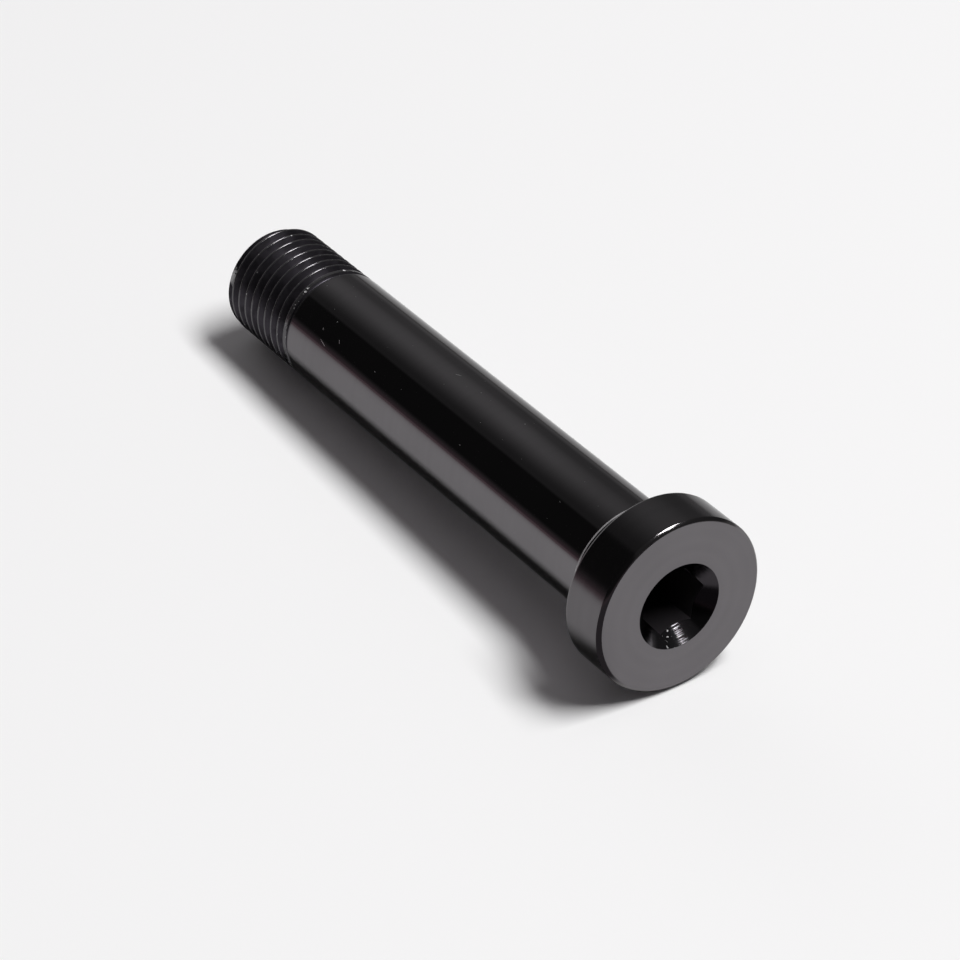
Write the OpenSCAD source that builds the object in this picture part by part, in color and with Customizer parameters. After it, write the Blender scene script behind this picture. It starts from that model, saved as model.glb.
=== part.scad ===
// Pivot bolt with a round head, a hexagon socket and a fine thread at the far end.
// It lies on its side, resting on the rim of its head and on the last turn of its thread.
// The origin is on the bolt's axis, in the plane of the seat under the head.
// +X runs from the head towards the thread and +Z is up. All sizes are in millimetres.

/* [Head] */
// Diameter of the head
head_d = 18; // [17:0.5:22]
// Height of the head, from its face to its seat
head_h = 5.1; // [4.5:0.1:7]
// Chamfer round the face of the head
face_chamfer = 0.3; // [0.1:0.05:0.6]
// Edge break round the back of the head
back_chamfer = 0.15; // [0.05:0.05:0.4]

/* [Socket] */
// Hexagon, across its flats
hex_flats = 6; // [5:0.5:7]
// Depth of the flats below the face of the head
hex_depth = 6.5; // [4:0.5:8]
// Diameter of the countersunk mouth
mouth_d = 8.85; // [8.3:0.05:10]
// Full angle of the countersink
mouth_angle = 90; // [82:1:100]
// Full angle of the drilled point below the flats
point_angle = 118; // [90:1:140]
// Ledge left between the flats and the drilled point
point_ledge = 0.1; // [0.05:0.05:0.4]
// Turn of the hexagon about the bolt's axis, as the bolt lies
socket_turn = 23.8; // [0:0.1:60]

/* [Collar] */
// Height of the collar above the shank
collar_step = 0.5; // [0.35:0.05:0.8]
// Length of the collar, from the seat
collar_len = 2.1; // [1:0.1:4]
// Chamfer at the end of the collar
collar_chamfer = 0.2; // [0.05:0.05:0.3]

/* [Shank] */
// Diameter of the shank that the pivot turns on
shank_d = 12; // [11:0.5:13]
// Length of the bolt, from the seat to the threaded end
bolt_len = 65.5; // [45:0.5:100]
// Length of the taper that leads from the shank down to the thread
shank_lead = 0.6; // [0.2:0.1:1]

/* [Thread] */
// Length of the thread with its run-out, from the end of the bolt
thread_len = 12.3; // [8:0.1:25]
// Pitch of the thread
pitch = 1.25; // [1:0.25:1.75]
// How much smaller than the shank the thread is, on the diameter
thread_allowance = 0.06; // [0:0.02:0.2]
// Chamfer at the end of the thread
end_chamfer = 0.5; // [0.3:0.1:0.9]
// Part of a turn over which the groove reaches its full depth
runout_turns = 1; // [0.5:0.25:2]

/* [Hidden] */
finish = [0.10, 0.10, 0.11];
$fn = 96;

// Radii of the turned form
head_r = head_d / 2;
shank_r = shank_d / 2;
collar_r = shank_r + collar_step;
thread_r = (shank_d - thread_allowance) / 2;
thread_start = bolt_len - thread_len;

// The socket's cuts start a little way in front of the face
cut_lead = 0.2;
mouth_slope = tan(mouth_angle / 2);
// The countersink runs on below its meeting with the flats, inside the hexagon
cone_d = hex_flats - 2 * cut_lead;
cone_depth = (mouth_d - cone_d) / 2 / mouth_slope;
point_d = hex_flats - 2 * point_ledge;
point_depth = point_d / 2 / tan(point_angle / 2);

// Metric groove: 60 degree flanks, a crest an eighth of the pitch wide
flank = tan(30);
groove_depth = 0.6134 * pitch;
crest_flat = pitch / 8;
groove_half = (pitch - crest_flat) / 2;
root_half = groove_half - groove_depth * flank;
// The cutter stands out of the crest by less than would join its own turns
cutter_lead = 0.08 * pitch;
lead_half = groove_half + cutter_lead * flank;
steps_per_turn = 30;
groove_steps = ceil((thread_len / pitch + 1) * steps_per_turn);
runout_steps = runout_turns * steps_per_turn;

// The bolt dips until the back rim of its head and its last full turn are level
rest_tilt = atan((head_r - thread_r) / (bolt_len - end_chamfer + back_chamfer));

// Outline of half the bolt, as turned: radius, then distance from the seat
module turned_form() {
  rotate_extrude()
    polygon([
      [0, -head_h],
      [head_r - face_chamfer, -head_h],
      [head_r, face_chamfer - head_h],
      [head_r, -back_chamfer],
      [head_r - back_chamfer, 0],
      [collar_r, 0],
      [collar_r, collar_len - collar_chamfer],
      [collar_r - collar_chamfer, collar_len],
      [shank_r, collar_len],
      [shank_r, thread_start - shank_lead],
      [thread_r, thread_start],
      [thread_r, bolt_len - end_chamfer],
      [thread_r - end_chamfer, bolt_len],
      [0, bolt_len]
    ]);
}

// Hexagon flats on a drilled point, with a countersunk mouth
module hex_socket() {
  translate([0, 0, -head_h]) {
    rotate([0, 0, socket_turn])
      translate([0, 0, -cut_lead])
        cylinder(d = hex_flats / cos(30), h = hex_depth + cut_lead, $fn = 6);
    translate([0, 0, -cut_lead])
      cylinder(
        d1 = mouth_d + 2 * cut_lead * mouth_slope,
        d2 = cone_d,
        h = cone_depth + cut_lead
      );
    translate([0, 0, hex_depth])
      cylinder(d1 = point_d, d2 = 0, h = point_depth);
  }
}

// Section of the thread cutter at one step of its path, in the plane of the axis
function groove_section(i) =
  let (
    angle = 360 * i / steps_per_turn,
    z = thread_start + pitch * i / steps_per_turn,
    cut = min(1, i / runout_steps),
    lift = (1 - cut) * (groove_depth + cutter_lead),
    root_r = thread_r - groove_depth + lift,
    lead_r = thread_r + cutter_lead + lift
  )
  [
    for (corner = [
      [root_r, -root_half],
      [root_r, root_half],
      [lead_r, lead_half],
      [lead_r, -lead_half]
    ])
      [corner[0] * cos(angle), corner[0] * sin(angle), z + corner[1]]
  ];

// One continuous right-hand groove, run out at the shank and through the end
module thread_groove() {
  points = [for (i = [0:groove_steps]) each groove_section(i)];
  sides = [
    for (i = [0:groove_steps - 1], k = [0:3])
      let (a = 4 * i + k, b = 4 * i + (k + 1) % 4)
        [a, a + 4, b + 4, b]
  ];
  last = 4 * groove_steps;
  ends = [[0, 1, 2, 3], [last + 3, last + 2, last + 1, last]];
  polyhedron(points, concat(sides, ends), convexity = 12);
}

module pivot_bolt() {
  color(finish)
    rotate([0, 90 + rest_tilt, 0])
      difference() {
        turned_form();
        hex_socket();
        thread_groove();
      }
}

pivot_bolt();
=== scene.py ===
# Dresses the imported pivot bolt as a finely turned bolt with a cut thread, in glossy black anodising
from math import atan, atan2, cos, pi, radians, sin, tan

import bpy
from mathutils import Matrix, Vector

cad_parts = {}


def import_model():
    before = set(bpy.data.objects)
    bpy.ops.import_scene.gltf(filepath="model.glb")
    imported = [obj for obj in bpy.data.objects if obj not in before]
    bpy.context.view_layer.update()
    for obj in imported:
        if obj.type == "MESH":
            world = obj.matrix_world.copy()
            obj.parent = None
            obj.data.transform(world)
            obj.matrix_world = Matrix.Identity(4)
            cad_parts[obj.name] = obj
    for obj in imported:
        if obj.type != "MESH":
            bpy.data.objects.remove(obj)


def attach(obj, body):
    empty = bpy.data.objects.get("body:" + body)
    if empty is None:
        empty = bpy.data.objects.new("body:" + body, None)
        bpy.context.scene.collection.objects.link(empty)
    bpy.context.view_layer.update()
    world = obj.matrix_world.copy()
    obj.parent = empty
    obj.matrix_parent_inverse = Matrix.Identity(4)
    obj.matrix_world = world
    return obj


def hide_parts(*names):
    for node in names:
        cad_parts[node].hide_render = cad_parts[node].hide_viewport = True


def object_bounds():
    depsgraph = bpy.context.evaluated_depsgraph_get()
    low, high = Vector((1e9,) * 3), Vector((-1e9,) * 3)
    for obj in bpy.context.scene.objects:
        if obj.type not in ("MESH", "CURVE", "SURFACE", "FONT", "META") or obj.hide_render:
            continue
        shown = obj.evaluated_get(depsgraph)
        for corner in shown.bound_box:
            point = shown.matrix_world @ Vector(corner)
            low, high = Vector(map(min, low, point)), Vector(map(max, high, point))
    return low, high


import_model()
cad_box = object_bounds()

# Sizes in millimetres, measured from the seat under the head along the bolt's axis. They are part.scad's,
# apart from the collar's length and chamfer and the head's back break, which follow the photograph
MM = 0.001
HEAD_R = 9.0
HEAD_H = 5.1
FACE_CHAMFER = 0.3
BACK_CHAMFER = 0.15
BACK_BREAK = 0.2
HEX_FLATS = 6.0
HEX_DEPTH = 6.5
MOUTH_R = 4.425
MOUTH_HALF_ANGLE = radians(45)
POINT_LEDGE = 0.1
POINT_HALF_ANGLE = radians(59)
SOCKET_TURN = radians(23.8)
COLLAR_R = 6.5
COLLAR_LEN = 2.57
COLLAR_CHAMFER = 0.1
SHANK_R = 6.0
BOLT_LEN = 65.5
THREAD_R = 5.97
THREAD_START = 53.2
SHANK_LEAD = 0.6
PITCH = 1.25
END_CHAMFER = 0.5
GROOVE_SHARE = 0.6134
RUNOUT_TURNS = 1
CUT_LEAD = 0.2
REST_TILT = atan((HEAD_R - THREAD_R) / (BOLT_LEN - END_CHAMFER + BACK_CHAMFER))

# Directions of the lying bolt: along its axis, and square to it as near to upright as it goes
AXIS = Vector((cos(REST_TILT), 0, -sin(REST_TILT)))
UPRIGHT = Vector((sin(REST_TILT), 0, cos(REST_TILT)))
SIDEWAYS = Vector((0, -1, 0))

# The floor: its colour, the glow that lifts its shadow where the camera sees it, and how the bolt mirrors
# it far away on either side and near the head on the camera's side
FLOOR_COLOUR = (0.86, 0.86, 0.86, 1)
SHADOW_GLOW = (0.042, 0.037, 0.041, 1)
FAR_SIDE_DIM = (0.25, 0.245, 0.24, 1)
CAMERA_SIDE_DIM = (0.30, 0.22, 0.24, 1)
HEAD_SIDE_DARK = (0.085, 0.078, 0.085, 1)

# The room: how bright the camera sees it, how dim it is to the bolt, and the tint of its low dark side
BACKDROP = 0.896
ROOM_DIM = 0.018
WHITE = (1, 1, 1, 1)
LOW_RED = (1.0, 0.7, 0.8, 1)

# The lamp: its height in metres, its sides for each metre of that, and its power for that squared
LAMP_HEIGHT = 2.2
LAMP_LONG = 0.54
LAMP_SHORT = 0.34
LAMP_POWER = 13.3

# Dents in the thread: place along the bolt, turn from upright in degrees, size of the ball and depth
NICKS = [
    (65.0, -57, 0.42, 0.20),
    (64.9, -64, 0.40, 0.18),
    (65.0, -71, 0.40, 0.19),
    (61.5, -46, 0.20, 0.07),
    (57.8, -58, 0.12, 0.03),
    (55.1, -63, 0.18, 0.06),
    (54.05, -31, 0.15, 0.05),
    (54.15, -27, 0.13, 0.04),
    (54.4, 17, 0.20, 0.06),
]

# Marks on the shank: place along the bolt, turn from upright in degrees, half length, half width, lean
MARKS = [
    (47.6, -58.5, 0.62, 0.05, 16),
    (45.5, -47.7, 0.27, 0.05, 45),
    (48.5, -47.7, 0.16, 0.07, 45),
    (47.5, -34.3, 0.07, 0.06, 0),
    (38.9, -48.4, 0.07, 0.06, 0),
    (31.0, 1.1, 0.40, 0.05, 152),
    (27.1, 1.4, 0.07, 0.06, 0),
    (23.6, -50.9, 0.08, 0.06, 0),
    (20.2, 4.8, 0.08, 0.07, 0),
    (8.9, -33.9, 0.07, 0.06, 0),
]

# The bare patch at the thread's end, where it was knocked: written as the marks are
KNOCKED_END = (64.95, -62, 0.42, 1.0, 0)

# How finely the turned form and the thread are divided
ROUND_SIDES = 256
POINT_SIDES = 96
THREAD_STEPS = 96
CRISP_ANGLE = radians(25)

# Points closer than this, in millimetres, are one point: in the finished bolt, and in a cutter's seam
SAME_PLACE = 0.0003
SAME_SEAM = 0.00001

# The black finish of each part of the bolt, as a tint of the mirror that it is, then the tint of bare
# metal and that of light which grazes the bolt. The socket's tint is darkened as painted shade, the
# countersink's lower tint is raised as a painted highlight, and the bare tint also paints highlights and
# glints
PLAIN_TONE = (0.152, 0.144, 0.151, 1)
RIM_TONE = (0.128, 0.121, 0.127, 1)
FACE_TONE = (0.162, 0.153, 0.161, 1)
EDGE_TONE = (0.178, 0.168, 0.174, 1)
FLANK_TONE = (0.044, 0.040, 0.048, 1)
CREST_TONE = (0.105, 0.101, 0.107, 1)
# Painted shade: the inside of the socket is tinted darker than the rest
SOCKET_SHADE_TONE = (0.038, 0.034, 0.038, 1)
# Painted highlight: the lower countersink, where the lamp's streak falls, is tinted brighter
CONE_STREAK_TONE = (0.115, 0.109, 0.118, 1)
BARE_AND_HIGHLIGHT_TONE = (0.62, 0.61, 0.62, 1)
GRAZING_TONE = (0.60, 0.60, 0.60, 1)

# Roughness of the plain finish, and of bare metal and the painted highlights and glints
PLAIN_ROUGH = 0.05
BARE_AND_HIGHLIGHT_ROUGH = 0.72

# How fine the clouds are, per metre, and the rings of polishing and of the tool, per millimetre. The
# wear's clouds also vary the painted edge highlights, and the glint clouds place the countersink's painted
# glints
WEAR_AND_HIGHLIGHT_CLOUDS = 2600
GLINT_CLOUDS = 3400
SMUDGE_CLOUDS = 160
FLANK_CLOUDS = 620
GRAIN_CLOUDS = 5200
RIPPLE_CLOUDS = 260
POLISH_RINGS = 1.3
TOOL_RINGS = 5

# The camera: its lens, its place in metres and the way that it looks
LENS = 140.6
CAMERA_PLACE = (-0.215576, 0.161781, 0.210302)
CAMERA_AIM = (0.669203, -0.445673, -0.594594)


def only(piece):
    """Makes a piece the one thing selected"""
    bpy.ops.object.select_all(action="DESELECT")
    piece.select_set(True)
    bpy.context.view_layer.objects.active = piece


def pick(piece, kind, test):
    """Selects in edit mode vertices that pass a test in millimetres, or edges with both ends passing it"""
    only(piece)
    bpy.ops.object.mode_set(mode="EDIT")
    bpy.ops.mesh.select_mode(type=kind)
    bpy.ops.mesh.select_all(action="DESELECT")
    bpy.ops.object.mode_set(mode="OBJECT")
    mesh = piece.data
    points = [v.co / MM for v in mesh.vertices]
    for part in mesh.vertices if kind == "VERT" else mesh.edges:
        ends = [part.index] if kind == "VERT" else part.vertices
        part.select = all(test(points[i]) for i in ends)
    bpy.ops.object.mode_set(mode="EDIT")


def at_ring(radius, z):
    """A test for places on one turned edge"""
    slack = 0.004
    return lambda p: abs(p.xy.length - radius) < slack and abs(p.z - z) < slack


def done_editing():
    bpy.ops.object.mode_set(mode="OBJECT")


def extrude_ring(from_r, to_r, rise):
    """Draws the selected disc on along the axis, then opens or closes it to its next radius"""
    bpy.ops.mesh.extrude_region_move(TRANSFORM_OT_translate={"value": (0, 0, rise * MM)})
    grow = to_r / from_r
    bpy.ops.transform.resize(value=(grow, grow, 1))


def break_edge(piece, radius, z, width, segments=1):
    """Bevels one turned edge"""
    pick(piece, "EDGE", at_ring(radius, z))
    bpy.ops.mesh.bevel(offset=width * MM, offset_type="OFFSET", segments=segments, affect="EDGES")
    done_editing()


def face_out(piece):
    """Joins points that lie on each other and turns all faces outwards"""
    only(piece)
    bpy.ops.object.mode_set(mode="EDIT")
    bpy.ops.mesh.select_all(action="SELECT")
    bpy.ops.mesh.remove_doubles(threshold=SAME_PLACE * MM)
    bpy.ops.mesh.select_all(action="SELECT")
    bpy.ops.mesh.normals_make_consistent(inside=False)
    done_editing()


def apply_all(piece):
    only(piece)
    for modifier in list(piece.modifiers):
        bpy.ops.object.modifier_apply(modifier=modifier.name)


def turned_bolt():
    """The bolt as it leaves the lathe: one disc drawn out ring by ring, then its edges broken"""
    soft = 0.12
    rim_break = 0.05
    root_fillet = 0.15
    hold = 0.03
    disc_r = HEAD_R - FACE_CHAMFER - soft - hold
    bpy.ops.object.select_all(action="DESELECT")
    bpy.ops.mesh.primitive_circle_add(
        vertices=ROUND_SIDES, radius=disc_r * MM, fill_type="NGON", location=(0, 0, -HEAD_H * MM)
    )
    bolt = bpy.context.object
    bolt.name = "turned_bolt"
    bpy.ops.object.transform_apply(location=True, rotation=True, scale=True)
    bpy.ops.object.mode_set(mode="EDIT")
    bpy.ops.mesh.select_all(action="SELECT")
    rings = [
        (HEAD_R, -HEAD_H),
        (HEAD_R, -HEAD_H + FACE_CHAMFER + hold + rim_break),
        (HEAD_R, -BACK_BREAK - hold - rim_break),
        (HEAD_R, 0),
        (HEAD_R - BACK_BREAK - hold - rim_break, 0),
        (COLLAR_R, 0),
        (COLLAR_R, hold),
        (COLLAR_R, COLLAR_LEN - COLLAR_CHAMFER - 2 * hold),
        (COLLAR_R, COLLAR_LEN),
        (SHANK_R, COLLAR_LEN),
        (SHANK_R, COLLAR_LEN + root_fillet + hold),
        (SHANK_R, THREAD_START - SHANK_LEAD),
        (THREAD_R, THREAD_START),
        (THREAD_R, BOLT_LEN - END_CHAMFER),
        (THREAD_R - END_CHAMFER, BOLT_LEN),
    ]
    last_r, last_z = disc_r, -HEAD_H
    for ring_r, ring_z in rings:
        extrude_ring(last_r, ring_r, ring_z - last_z)
        last_r, last_z = ring_r, ring_z
    done_editing()
    break_edge(bolt, HEAD_R, -HEAD_H, FACE_CHAMFER)
    break_edge(bolt, HEAD_R - FACE_CHAMFER, -HEAD_H, soft, 3)
    break_edge(bolt, HEAD_R, -HEAD_H + FACE_CHAMFER, rim_break, 2)
    break_edge(bolt, HEAD_R, 0, BACK_BREAK, 3)
    break_edge(bolt, COLLAR_R, COLLAR_LEN, COLLAR_CHAMFER, 4)
    break_edge(bolt, SHANK_R, COLLAR_LEN, root_fillet, 4)
    face_out(bolt)
    return bolt


def thread_cutter():
    """The thread's groove: one tooth, flared so that it rounds the crests, turned along its helix"""
    flank = tan(radians(30))
    depth = GROOVE_SHARE * PITCH
    half = (PITCH - PITCH / 8) / 2
    root_half = half - depth * flank
    crest_round = 0.12
    flare_half = half + crest_round * flank
    neck_r = THREAD_R - crest_round / 2
    neck_half = half - crest_round / 2 * flank
    bpy.ops.object.select_all(action="DESELECT")
    middle = (THREAD_R - depth + neck_r) / 2
    bpy.ops.mesh.primitive_plane_add(
        size=1, location=(middle * MM, 0, THREAD_START * MM), rotation=(pi / 2, 0, 0)
    )
    tooth = bpy.context.object
    tooth.name = "thread_cutter"
    tooth.scale = ((neck_r - THREAD_R + depth) * MM, 2 * neck_half * MM, 1)
    bpy.ops.object.transform_apply(location=True, rotation=True, scale=True)
    pick(tooth, "VERT", lambda p: p.x < middle)
    bpy.ops.transform.resize(value=(1, 1, root_half / neck_half))
    root_round = 0.7 * root_half
    bpy.ops.mesh.bevel(offset=root_round * MM, segments=3, affect="VERTICES")
    done_editing()
    pick(tooth, "EDGE", lambda p: p.x > neck_r - 0.01)
    last_r, last_half = neck_r, neck_half
    for lean in (45, 30, 15, 0):
        ring_r = THREAD_R - crest_round * (1 - cos(radians(lean)))
        ring_half = flare_half - crest_round * sin(radians(lean))
        bpy.ops.mesh.extrude_region_move(
            TRANSFORM_OT_translate={"value": ((ring_r - last_r) * MM, 0, 0)}
        )
        bpy.ops.transform.resize(value=(1, 1, ring_half / last_half))
        last_r, last_half = ring_r, ring_half
    lift = 0.1
    bpy.ops.mesh.extrude_region_move(TRANSFORM_OT_translate={"value": (lift * MM, 0, 0)})
    bpy.ops.mesh.select_all(action="SELECT")
    bpy.ops.mesh.dissolve_faces(use_verts=False)
    bpy.ops.mesh.select_all(action="SELECT")
    bpy.ops.mesh.delete(type="ONLY_FACE")
    done_editing()
    turns = int((BOLT_LEN - THREAD_START) / PITCH) + 2
    screw = tooth.modifiers.new("helix", "SCREW")
    screw.axis = "Z"
    screw.angle = 2 * pi
    screw.screw_offset = PITCH * MM
    screw.iterations = turns
    screw.steps = THREAD_STEPS
    screw.render_steps = THREAD_STEPS
    screw.use_smooth_shade = False
    apply_all(tooth)
    only(tooth)
    bpy.ops.object.mode_set(mode="EDIT")
    bpy.ops.mesh.select_all(action="SELECT")
    bpy.ops.mesh.remove_doubles(threshold=SAME_SEAM * MM)
    bpy.ops.mesh.fill_holes(sides=0)
    bpy.ops.mesh.select_all(action="SELECT")
    bpy.ops.mesh.normals_make_consistent(inside=False)
    done_editing()
    run_out(tooth, depth + lift)
    return tooth


def run_out(tooth, lift):
    """Lifts the groove's first turn out of the shank, so that it begins at nothing"""
    for vertex in tooth.data.vertices:
        place = vertex.co / MM
        angle = atan2(place.y, place.x) / (2 * pi)
        turn = round((place.z - THREAD_START) / PITCH - angle) + angle
        short = max(0.0, 1 - max(turn, 0.0) / RUNOUT_TURNS)
        radius = place.xy.length
        grow = (radius + short * lift) / radius
        vertex.co.x *= grow
        vertex.co.y *= grow


def cut(body, cutter):
    """Takes a cutter out of the body"""
    take = body.modifiers.new("cut", "BOOLEAN")
    take.operation = "DIFFERENCE"
    take.solver = "EXACT"
    take.object = cutter
    apply_all(body)
    bpy.data.objects.remove(cutter)


def hexagon_cutter():
    """The broached hexagon of the socket"""
    bpy.ops.object.select_all(action="DESELECT")
    bpy.ops.mesh.primitive_cylinder_add(
        vertices=6, radius=HEX_FLATS / cos(pi / 6) / 2 * MM, depth=(HEX_DEPTH + CUT_LEAD) * MM,
        location=(0, 0, (-HEAD_H + (HEX_DEPTH - CUT_LEAD) / 2) * MM),
        rotation=(0, 0, SOCKET_TURN - pi / 2)
    )
    cutter = bpy.context.object
    bpy.ops.object.transform_apply(location=True, rotation=True, scale=True)
    return cutter


def cone_cutter(big_r, small_r, z_big, depth, sides=ROUND_SIDES):
    """A countersink or drill point, wide at z_big and narrowing towards the thread"""
    bpy.ops.object.select_all(action="DESELECT")
    bpy.ops.mesh.primitive_cone_add(
        vertices=sides, radius1=big_r * MM, radius2=small_r * MM, depth=depth * MM,
        location=(0, 0, (z_big + depth / 2) * MM)
    )
    cutter = bpy.context.object
    bpy.ops.object.transform_apply(location=True, rotation=True, scale=True)
    return cutter


def cut_socket(bolt):
    """Countersink, hexagon and drilled point"""
    inner_r = HEX_FLATS / 2 - CUT_LEAD
    slope = tan(MOUTH_HALF_ANGLE)
    cut(bolt, hexagon_cutter())
    outer_r = MOUTH_R + CUT_LEAD * slope
    cut(bolt, cone_cutter(outer_r, inner_r, -HEAD_H - CUT_LEAD, (outer_r - inner_r) / slope))
    point_r = HEX_FLATS / 2 - POINT_LEDGE
    above = 0.05
    wide_r = point_r + above * tan(POINT_HALF_ANGLE)
    floor_z = -HEAD_H + HEX_DEPTH
    point_depth = wide_r / tan(POINT_HALF_ANGLE)
    cut(bolt, cone_cutter(wide_r, 0, floor_z - above, point_depth, POINT_SIDES))


def lay_down(bolt):
    """Turns the bolt from standing on its head to lying as it rests"""
    only(bolt)
    bolt.rotation_euler = (0, pi / 2 + REST_TILT, 0)
    bpy.ops.object.transform_apply(location=True, rotation=True, scale=True)


def on_bolt(s, turn, radius):
    """A place on the lying bolt: millimetres from the seat, degrees round from upright, radius"""
    around = UPRIGHT * cos(radians(turn)) + SIDEWAYS * sin(radians(turn))
    return AXIS * s + around * radius


def dent(bolt):
    """Knocks small dents into the thread, as one set of ball-shaped cuts"""
    balls = []
    for s, turn, ball_r, deep in NICKS:
        bpy.ops.object.select_all(action="DESELECT")
        place = on_bolt(s, turn, THREAD_R + ball_r - deep) * MM
        bpy.ops.mesh.primitive_ico_sphere_add(subdivisions=3, radius=ball_r * MM, location=place)
        balls.append(bpy.context.object)
    for ball in balls:
        ball.select_set(True)
    bpy.context.view_layer.objects.active = balls[0]
    bpy.ops.object.join()
    only(balls[0])
    bpy.ops.object.transform_apply(location=True, rotation=True, scale=True)
    cut(bolt, balls[0])


class Value:
    """One output of a node, so that shader maths is written as plain sums"""

    def __init__(self, tree, socket):
        self.tree = tree
        self.socket = socket

    def maths(self, operation, *inputs):
        return self.tree.node("ShaderNodeMath", {"operation": operation}, dict(enumerate(inputs)))

    def __add__(self, other):
        return self.maths("ADD", self, other)

    def __radd__(self, other):
        return self.maths("ADD", other, self)

    def __sub__(self, other):
        return self.maths("SUBTRACT", self, other)

    def __rsub__(self, other):
        return self.maths("SUBTRACT", other, self)

    def __mul__(self, other):
        return self.maths("MULTIPLY", self, other)

    def __rmul__(self, other):
        return self.maths("MULTIPLY", other, self)

    def __truediv__(self, other):
        return self.maths("DIVIDE", self, other)

    def __pow__(self, other):
        return self.maths("POWER", self, other)

    def __abs__(self):
        return self.maths("ABSOLUTE", self)

    def larger(self, other):
        return self.maths("MAXIMUM", self, other)

    def sibling(self, name):
        """Another output of the same node"""
        return Value(self.tree, self.socket.node.outputs[name])


class Tree:
    """The nodes of one material or of the world"""

    def __init__(self, owner):
        owner.use_nodes = True
        self.nodes = owner.node_tree.nodes
        self.links = owner.node_tree.links
        self.nodes.clear()

    def node(self, kind, settings=None, inputs=None, output=0):
        """Adds a node: its settings first, then the value or link of each named or numbered socket"""
        made = self.nodes.new(kind)
        for name, setting in (settings or {}).items():
            setattr(made, name, setting)
        for name, value in (inputs or {}).items():
            if isinstance(value, Value):
                self.links.new(value.socket, made.inputs[name])
            else:
                made.inputs[name].default_value = value
        return Value(self, made.outputs[output]) if made.outputs else made


def smooth_step(tree, value, low, high):
    """0 below low, 1 above high"""
    return tree.node(
        "ShaderNodeMapRange", {"interpolation_type": "SMOOTHSTEP"},
        {"Value": value, "From Min": low, "From Max": high, "To Min": 0.0, "To Max": 1.0}
    )


def along(tree, place, direction):
    """How far a place lies in a direction, in millimetres"""
    return tree.node(
        "ShaderNodeVectorMath", {"operation": "DOT_PRODUCT"}, {0: place, 1: direction}, output="Value"
    ) / MM


def before(tree, value, edge, soft):
    """1 below an edge, 0 above it"""
    return 1 - smooth_step(tree, value, edge - soft / 2, edge + soft / 2)


def beyond(tree, value, edge, soft):
    """0 below an edge, 1 above it"""
    return smooth_step(tree, value, edge - soft / 2, edge + soft / 2)


def mix(tree, share, from_colour, to_colour):
    """Blends two colours"""
    return tree.node(
        "ShaderNodeMix", {"data_type": "RGBA"}, {0: share, 6: from_colour, 7: to_colour}, output=2
    )


def mark(tree, s, arc, spot):
    """1 inside one small mark, 0 outside it"""
    mark_s, turn, half_length, half_width, lean = spot
    ahead = s - mark_s
    aside = arc - radians(turn) * SHANK_R
    long_way = (ahead * cos(radians(lean)) + aside * sin(radians(lean))) / half_length
    short_way = (aside * cos(radians(lean)) - ahead * sin(radians(lean))) / half_width
    return before(tree, long_way * long_way + short_way * short_way, 0.8, 0.8)


def near_nick(tree, place, nick):
    """1 at a dent of the thread, 0 away from it"""
    s, turn, ball_r, deep = nick
    middle = on_bolt(s, turn, THREAD_R - deep / 2) * MM
    gap = tree.node(
        "ShaderNodeVectorMath", {"operation": "DISTANCE"}, {0: place, 1: middle}, output="Value"
    ) / MM
    bare_r = (ball_r + deep) * 0.62
    return before(tree, gap, bare_r, ball_r * 0.3)


def noise(tree, place, scale, detail):
    """Cloudy noise through the whole piece"""
    return tree.node(
        "ShaderNodeTexNoise", {"noise_dimensions": "3D"},
        {"Vector": place, "Scale": scale, "Detail": detail}
    )


def ring_noise(tree, across, detail):
    """Noise that is the same all round the bolt's axis"""
    return tree.node(
        "ShaderNodeTexNoise", {"noise_dimensions": "1D"}, {"W": across, "Scale": 1.0, "Detail": detail}
    )


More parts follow.
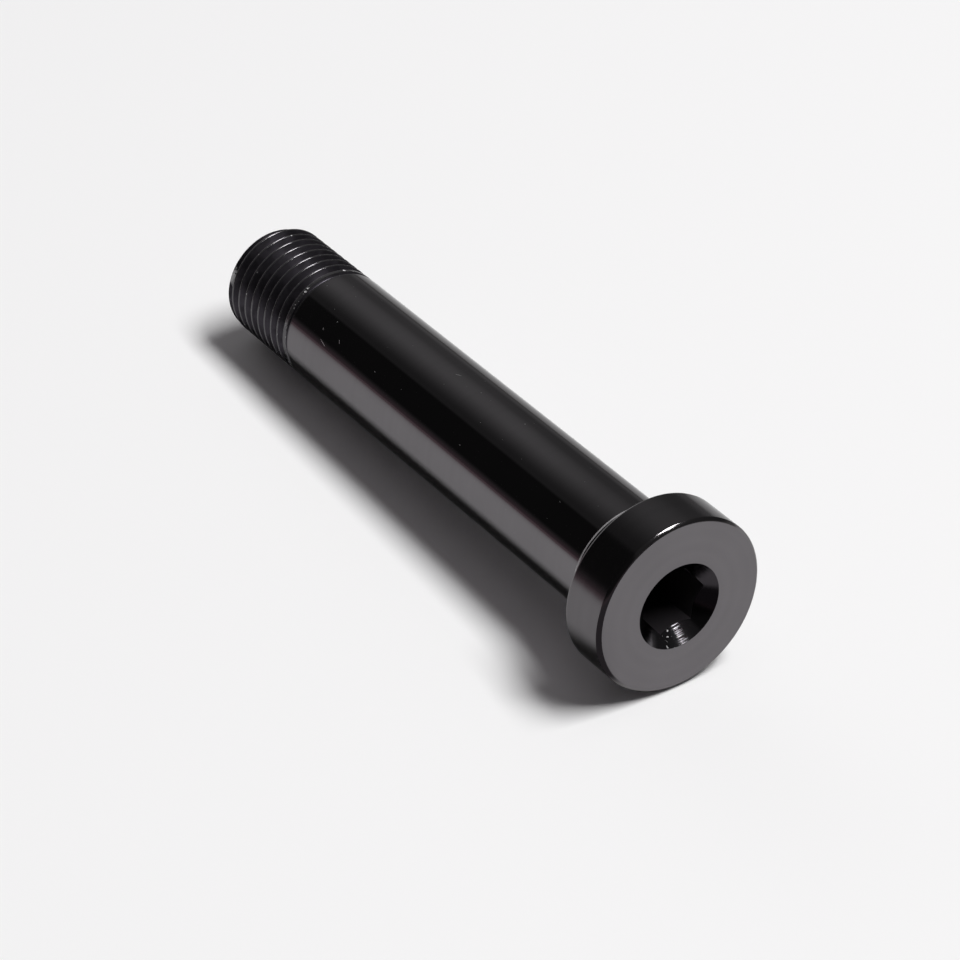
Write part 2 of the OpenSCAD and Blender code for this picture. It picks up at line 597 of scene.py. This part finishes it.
def black_anodised():
    """Hard black anodising on turned aluminium: a dark mirror, rougher where the tool cut deeper"""
    material = bpy.data.materials.new("black_anodised_finish")
    tree = Tree(material)
    place = tree.node("ShaderNodeTexCoord", output="Object")
    s = along(tree, place, AXIS)
    up = along(tree, place, UPRIGHT)
    side = along(tree, place, SIDEWAYS)
    radius = (up * up + side * side) ** 0.5
    arc = tree.node("ShaderNodeMath", {"operation": "ARCTAN2"}, {0: side, 1: up}) * radius

    head = before(tree, s, -0.01, 0.02)
    outer = beyond(tree, radius, HEAD_R - FACE_CHAMFER - 0.02, 0.04)
    front = before(tree, s, -HEAD_H + 0.02, 0.03)
    edge = outer * before(tree, s, -HEAD_H + FACE_CHAMFER + 0.02, 0.06)
    rim = outer * head * (1 - edge)
    inside = before(tree, radius, MOUTH_R - 0.01, 0.02) * before(tree, s, COLLAR_LEN + 2, 1)
    cone = inside * before(tree, abs(radius + s - (MOUTH_R - HEAD_H)), 0.03, 0.03)
    bore = inside * (1 - cone)
    end_face = beyond(tree, s, BOLT_LEN - 0.02, 0.03)
    face = front * (1 - outer) * (1 - inside) + end_face
    thread = beyond(tree, s, THREAD_START + 0.1, 0.3) * (1 - end_face)
    crest = thread * beyond(tree, radius, THREAD_R - 0.07, 0.06)
    shank = beyond(tree, s, COLLAR_LEN, 0.02) * (1 - thread) * (1 - inside) * (1 - end_face)

    # Wear: crests rubbed bright, most of all the first one and around the dents
    wear_and_highlight_noise = noise(tree, place, WEAR_AND_HIGHLIGHT_CLOUDS, 3)
    first_crest = before(tree, abs(s - (THREAD_START + 0.7)), 0.2, 0.2) * before(tree, side, -1.2, 2.0)
    rubbed_and_glints = crest * beyond(tree, wear_and_highlight_noise + first_crest * 0.06, 0.69, 0.05) * 0.6
    for nick in NICKS:
        rubbed_and_glints = rubbed_and_glints.larger(near_nick(tree, place, nick) * beyond(tree, wear_and_highlight_noise, 0.42, 0.12))
    end_patch = mark(tree, s, arc, KNOCKED_END) * beyond(tree, wear_and_highlight_noise, 0.36, 0.10)
    rubbed_and_glints = rubbed_and_glints.larger(end_patch * 0.85)

    # Painted glints: bare-metal sparkles low in the countersink, where the lamp's streak falls, to
    # brighten it
    painted_glints = cone * before(tree, up, -2.9, 0.4)
    painted_glints = painted_glints * before(tree, side, -0.35, 0.2) * beyond(tree, side, -1.3, 0.3)
    painted_glints = painted_glints * beyond(tree, noise(tree, place, GLINT_CLOUDS, 2), 0.66, 0.04) * 0.8
    rubbed_and_glints = rubbed_and_glints.larger(painted_glints)

    # Painted highlights: the collar's far edge and the head's back edge take the bare tint, for the light
    # they catch
    collar_edge_highlight = beyond(tree, s, COLLAR_LEN - 0.24, 0.08) * before(tree, s, COLLAR_LEN + 0.02, 0.02)
    collar_edge_highlight = collar_edge_highlight * beyond(tree, radius, COLLAR_R - 0.14, 0.06)
    back_edge_highlight = beyond(tree, s, -BACK_BREAK - 0.02, 0.06) * outer
    painted_edge_highlight = (collar_edge_highlight * 0.88 + back_edge_highlight * 0.12) * (0.75 + wear_and_highlight_noise * 0.4)

    # Small marks and specks on the shank
    marked = mark(tree, s, arc, MARKS[0])
    for spot in MARKS[1:]:
        marked = marked.larger(mark(tree, s, arc, spot))
    unrolled = tree.node("ShaderNodeCombineXYZ", {}, {"X": s, "Y": arc, "Z": 0.0})
    cells = tree.node(
        "ShaderNodeTexVoronoi", {"voronoi_dimensions": "2D"}, {"Vector": unrolled, "Scale": 0.55}
    )
    chance = tree.node("ShaderNodeSeparateColor", {}, {"Color": cells.sibling("Color")})
    speck = before(tree, cells, 0.022, 0.012) * beyond(tree, chance, 0.88, 0.02)
    marked = shank * (marked * 0.5 + speck * 0.35)

    # Smudges, the faint rings that polishing leaves, and the mottled finish of the thread's flanks
    smudge = noise(tree, place, SMUDGE_CLOUDS, 3)
    polish = ring_noise(tree, (radius - s) * POLISH_RINGS, 2)
    mottle = smooth_step(tree, noise(tree, place, FLANK_CLOUDS, 2), 0.40, 0.62)

    # Each part's own tone, the socket's darkened as painted shade and the countersink's bottom raised as a
    # painted highlight, shaded by the smudges and rings, then bare metal, painted highlights and glints
    # over it
    # Painted highlight: the countersink's lower part, where the lamp's streak falls
    streak_cone_bottom = cone * before(tree, up, -2.5, 0.8)
    tone = PLAIN_TONE
    for part, part_tone in (
        (rim, RIM_TONE), (face, FACE_TONE), (edge, EDGE_TONE), (thread, FLANK_TONE),
        (crest, CREST_TONE), (inside, SOCKET_SHADE_TONE), (streak_cone_bottom, CONE_STREAK_TONE)
    ):
        tone = mix(tree, part, tone, part_tone)
    shade = 0.88 + smudge * 0.16 + polish * 0.07
    shade = shade * (1 - (thread - crest) * (1 - mottle) * 0.38)
    grey = tree.node("ShaderNodeCombineXYZ", {}, {"X": shade, "Y": shade, "Z": shade})
    tone = tree.node("ShaderNodeVectorMath", {"operation": "MULTIPLY"}, {0: tone, 1: grey})
    bare_and_highlights = rubbed_and_glints.larger(marked + painted_edge_highlight)
    tone = mix(tree, bare_and_highlights, tone, BARE_AND_HIGHLIGHT_TONE)

    rough = PLAIN_ROUGH + smudge * 0.03
    for part, rougher in (
        (rim, 0.08), (face, 0.12), (edge, 0.05), (thread, 0.28), (crest, -0.18), (cone, 0.06), (bore, 0.30)
    ):
        rough = rough + part * rougher
    rough = rough + bare_and_highlights * (BARE_AND_HIGHLIGHT_ROUGH - rough)

    # The coating scatters a little light in the bore and on the flanks, and the knocked patch much more
    metallic = 1 - bore * 0.4 - thread * (0.15 + end_patch * 0.6)

    # The surface's relief in millimetres: the tool's fine rings, deepest in the countersink, a slow ripple
    # of the shank, and a fine grain where the finish is dull
    rings = ring_noise(tree, (radius - s) * TOOL_RINGS, 3)
    grain = noise(tree, place, GRAIN_CLOUDS, 2)
    ripple = noise(tree, place, RIPPLE_CLOUDS, 1)
    height = ripple * shank * 0.005 + rings * (0.0006 + cone * 0.011 + face * 0.0008 + edge * 0.0010)
    height = height + grain * (thread * 0.006 + bore * 0.004 + bare_and_highlights * 0.01)
    bump = tree.node("ShaderNodeBump", {}, {"Strength": 1.0, "Distance": MM, "Height": height})
    shader = tree.node(
        "ShaderNodeBsdfPrincipled", {},
        {
            "Base Color": tone, "Metallic": metallic, "Roughness": rough,
            "Specular Tint": GRAZING_TONE, "Normal": bump
        }
    )
    tree.node("ShaderNodeOutputMaterial", {}, {"Surface": shader})
    return material


def pale_floor():
    """A plain pale sheet under the bolt, dimmer in places where the bolt mirrors it"""
    bpy.ops.object.select_all(action="DESELECT")
    bpy.ops.mesh.primitive_circle_add(
        vertices=96, radius=4, fill_type="NGON", location=(0, 0, cad_box[0][2])
    )
    floor = bpy.context.object
    floor.name = "floor"
    material = bpy.data.materials.new("pale_sheet")
    tree = Tree(material)
    seen = tree.node("ShaderNodeLightPath")
    mirrored = seen.sibling("Is Glossy Ray")

    # Places on the sheet, in metres: ahead is towards the thread, across is towards the camera's side
    place = tree.node("ShaderNodeTexCoord", output="Object")
    away = tree.node("ShaderNodeVectorMath", {"operation": "LENGTH"}, {0: place}, output="Value")
    ahead = tree.node("ShaderNodeSeparateXYZ", {}, {"Vector": place})
    across = ahead.sibling("Y")
    far = smooth_step(tree, away, 0.05, 0.30)
    sideways = smooth_step(tree, abs(across) / away, 0.15, 0.45)
    by_the_head = before(tree, ahead, 0.001, 0.004)
    front_left = smooth_step(tree, across - 0.4 * ahead, 0.0075, 0.0110) * by_the_head
    camera_side = smooth_step(tree, across, -0.02, 0.02)
    sheet = tree.node("ShaderNodeBsdfDiffuse", {}, {"Color": FLOOR_COLOUR})
    open_air = tree.node("ShaderNodeAmbientOcclusion", {"samples": 8}, {"Distance": 0.006}, output="AO")
    glow = tree.node("ShaderNodeEmission", {}, {"Color": SHADOW_GLOW, "Strength": seen * open_air})
    lifted = tree.node("ShaderNodeAddShader", {}, {0: sheet, 1: glow})
    dim_colour = mix(tree, camera_side, FAR_SIDE_DIM, CAMERA_SIDE_DIM)
    dim = tree.node("ShaderNodeEmission", {}, {"Color": dim_colour, "Strength": 1.0})
    mirrored_far = tree.node("ShaderNodeMixShader", {}, {0: mirrored * far * sideways, 1: lifted, 2: dim})
    dark = tree.node("ShaderNodeEmission", {}, {"Color": HEAD_SIDE_DARK, "Strength": 1.0})
    shader = tree.node("ShaderNodeMixShader", {}, {0: mirrored * front_left, 1: mirrored_far, 2: dark})
    tree.node("ShaderNodeOutputMaterial", {}, {"Surface": shader})
    floor.data.materials.append(material)


def studio():
    """One long soft light above, to the camera's right, in a dim room that is pale on one side"""
    middle = Vector((-0.34, -0.35, 1)) * LAMP_HEIGHT
    toward = middle.normalized()
    length_way = Vector((0.90, -0.20, 0))
    length_way = (length_way - length_way.dot(toward) * toward).normalized()
    width_way = toward.cross(length_way)
    lamp = bpy.data.lights.new("soft_light", "AREA")
    lamp.shape = "RECTANGLE"
    lamp.size = LAMP_LONG * LAMP_HEIGHT
    lamp.size_y = LAMP_SHORT * LAMP_HEIGHT
    lamp.energy = LAMP_POWER * LAMP_HEIGHT * LAMP_HEIGHT
    key = bpy.data.objects.new("soft_light", lamp)
    turn = Matrix((length_way, width_way, toward)).transposed()
    key.location = middle
    key.rotation_euler = turn.to_euler()
    key.visible_camera = False
    bpy.context.scene.collection.objects.link(key)
    world = bpy.data.worlds.new("room")
    bpy.context.scene.world = world
    tree = Tree(world)
    seen = tree.node("ShaderNodeLightPath")

    # The way that a ray goes: ahead is along the bolt, side is towards the camera's side, rise is up
    ray = tree.node("ShaderNodeTexCoord")
    ahead = tree.node("ShaderNodeSeparateXYZ", {}, {"Vector": ray})
    side = ahead.sibling("Y")
    rise = ahead.sibling("Z")
    slope = side / rise.larger(0.001)
    away = 0 - slope
    pale_side = 1 - smooth_step(tree, slope, 0.40, 0.52)
    glow = smooth_step(tree, away, -0.32, 0.60) * (1 - smooth_step(tree, away, 0.7, 2.0) * 0.45)
    farther = (0.58 + 0.30 * smooth_step(tree, ahead, 0.70, 0.735)) * smooth_step(tree, ahead, 0.1, 0.55)
    horizon = 1 - smooth_step(tree, rise, 0.0, 0.16)
    red_horizon = horizon * (1 - pale_side) * (1 - seen)
    room = ROOM_DIM + pale_side * (0.04 + glow * farther * 0.27 + horizon * 0.15)
    room = room + smooth_step(tree, ahead, 0.80, 0.93) * 0.8
    strength = room * (1 - seen) + seen * BACKDROP + red_horizon * 0.12
    colour = mix(tree, red_horizon, WHITE, LOW_RED)
    shade = tree.node("ShaderNodeBackground", {}, {"Color": colour, "Strength": strength})
    tree.node("ShaderNodeOutputWorld", {}, {"Surface": shade})


def photographer():
    """The camera where the photograph was taken from"""
    data = bpy.data.cameras.new("camera")
    data.lens = LENS
    data.sensor_width = 36
    data.clip_start = 0.01
    camera = bpy.data.objects.new("camera", data)
    camera.location = CAMERA_PLACE
    camera.rotation_euler = Vector(CAMERA_AIM).to_track_quat("-Z", "Y").to_euler()
    bpy.context.scene.collection.objects.link(camera)
    bpy.context.scene.camera = camera


photographer()
bolt = turned_bolt()
cut(bolt, thread_cutter())
cut_socket(bolt)
lay_down(bolt)
dent(bolt)
face_out(bolt)
only(bolt)
bpy.ops.object.shade_smooth_by_angle(angle=CRISP_ANGLE)
bolt.data.materials.clear()
bolt.data.materials.append(black_anodised())
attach(bolt, "root")
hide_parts("pivot_bolt")
pale_floor()
studio()
bpy.context.scene.view_settings.view_transform = "Standard"
